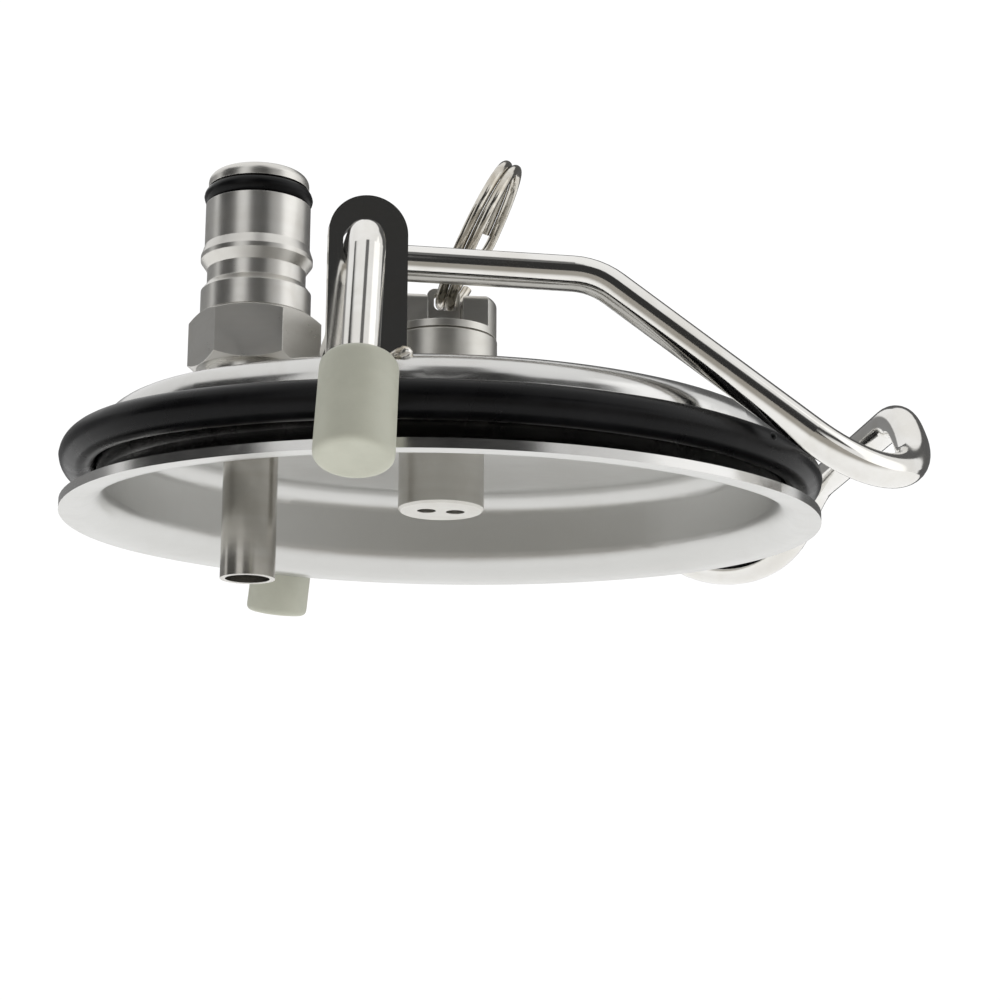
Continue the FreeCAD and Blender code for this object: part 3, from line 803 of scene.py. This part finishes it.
# Tone, azimuths and elevations in degrees of each card; a later one covers an earlier one.
GRIP_SIDE_LAMP = (1.5, (52, 92), (-5, 48))
BACK_RIGHT_CARD = (0.12, (115, 190), (-8, 48))
BACK_LEFT_CARD = (0.28, (-190, -112), (-2, 26))
LEFT_CARD = (0.06, (-100, -52), (-6, 44))
HIGH_FRONT_CARD = (0.17, (-12, 14), (40, 61))
FRONT_RIGHT_CARD = (0.07, (17, 50), (19, 34))
FRONT_CARD = (0.04, (-24, 21), (-12, 43))
FRONT_GAP = (0.7, (-10, 0), (27, 33))
CARDS = [
    GRIP_SIDE_LAMP, BACK_RIGHT_CARD, BACK_LEFT_CARD, LEFT_CARD,
    HIGH_FRONT_CARD, FRONT_RIGHT_CARD, FRONT_CARD, FRONT_GAP,
]


def plain_floor():
    """Wide pale disc below the object, glowing a little like a light table.

    Metal sees its front part darker, as if the table ended there."""
    mesh = bpy.data.meshes.new("floor")
    shape = bmesh.new()
    bmesh.ops.create_circle(shape, cap_ends=True, segments=FLOOR_SEGMENTS, radius=FLOOR_REACH)
    shape.to_mesh(mesh)
    shape.free()
    floor = bpy.data.objects.new("floor", mesh)
    floor.location = (0, 0, cad_low.z - FLOOR_DEPTH)
    bpy.context.scene.collection.objects.link(floor)
    material, g = new_material("floor_paper")
    place = g.position()
    tone = g.noise(place, 0.4, 2)
    depth = g.split(place)["Y"]
    unseen = g.math("SUBTRACT", 1, g.add("ShaderNodeLightPath").outputs["Is Camera Ray"])
    near = g.math("MULTIPLY", unseen, g.ramp(depth, -FLOOR_FADE_NEAR, -FLOOR_FADE_FAR))
    pale = (0.86, 0.86, 0.85)
    paler = (0.90, 0.90, 0.90)
    table_end = (0.50, 0.47, 0.42)
    colour = g.mix(tone, pale, paler)
    colour = g.mix(near, colour, table_end)
    glow = g.ramp(near, 0, 1, FLOOR_GLOW, 0.02)
    g.surface(colour, 0.0, 0.7, Emission_Color=(1, 1, 1, 1), Emission_Strength=glow)
    mesh.materials.append(material)


def window(g, value, low_deg, high_deg):
    """1 between two angles in degrees, with soft sides."""
    soft = math.radians(CARD_SOFTNESS)
    low = math.radians(low_deg)
    high = math.radians(high_deg)
    rising = g.ramp(value, low - soft, low + soft)
    falling = g.ramp(value, high - soft, high + soft, 1, 0)
    return g.math("MULTIPLY", rising, falling)


def card(g, level, way, tone, azimuths, elevations):
    """The room's level with one card of the given tone hung in it."""
    azimuth, elevation = way
    inside = g.math("MULTIPLY", window(g, azimuth, *azimuths), window(g, elevation, *elevations))
    return g.math("MULTIPLY_ADD", inside, g.math("SUBTRACT", tone, level), level)


def white_room():
    """White tent with dark cards for the metal to reflect, unseen by the camera.

    Azimuth 0 is straight in front of the lid and grows towards its grip."""
    world = bpy.data.worlds.new("white_room")
    world.use_nodes = True
    bpy.context.scene.world = world
    g = Graph(world.node_tree)
    direction = g.add("ShaderNodeTexCoord").outputs["Generated"]
    parts = g.split(direction)
    azimuth = g.math("ARCTAN2", parts["X"], g.math("MULTIPLY", parts["Y"], -1))
    elevation = g.math("ARCSINE", parts["Z"])
    way = (azimuth, elevation)
    level = g.ramp(elevation, math.radians(30), math.radians(75), ROOM_LEVEL, CEILING_LEVEL)
    for tone, azimuths, elevations in CARDS:
        level = card(g, level, way, tone, azimuths, elevations)
    seen = g.add("ShaderNodeLightPath").outputs["Is Camera Ray"]
    strength = g.math("MAXIMUM", level, g.math("MULTIPLY", seen, SEEN_LEVEL))
    background = g.add("ShaderNodeBackground", {"Color": (1, 1, 1, 1), "Strength": strength})
    g.add("ShaderNodeOutputWorld", {"Surface": background.outputs[0]})


plain_floor()
white_room()

# ---- camera -----------------------------------------------------------------

CAMERA_YAW = math.radians(10.606)
CAMERA_PITCH = math.radians(12.809)
CAMERA_ROLL = math.radians(0.217)
CAMERA_DISTANCE = 320.37 * MM
CAMERA_AIM = Vector((9.04, 3.58, 5.18)) * MM
LENS_IN_MM = 76.772
SENSOR_IN_MM = 36.0
NEAREST_SEEN = 0.01
FARTHEST_SEEN = 50


def photo_camera():
    """Looks slightly up at the lid's underside from just below its plane."""
    forward = Vector((
        math.sin(CAMERA_YAW) * math.cos(CAMERA_PITCH),
        math.cos(CAMERA_YAW) * math.cos(CAMERA_PITCH),
        math.sin(CAMERA_PITCH)))
    right = Vector((math.cos(CAMERA_YAW), -math.sin(CAMERA_YAW), 0))
    above = right.cross(forward)
    level = Matrix((right, above, -forward)).transposed()
    data = bpy.data.cameras.new("camera")
    data.sensor_width = SENSOR_IN_MM
    data.lens = LENS_IN_MM
    data.clip_start = NEAREST_SEEN
    data.clip_end = FARTHEST_SEEN
    camera = bpy.data.objects.new("camera", data)
    roll = Matrix.Rotation(CAMERA_ROLL, 3, -forward)
    place = Matrix.Translation(CAMERA_AIM - forward * CAMERA_DISTANCE)
    camera.matrix_world = place @ (roll @ level).to_4x4()
    bpy.context.scene.collection.objects.link(camera)
    bpy.context.scene.camera = camera


photo_camera()
bpy.context.scene.view_settings.view_transform = "Standard"
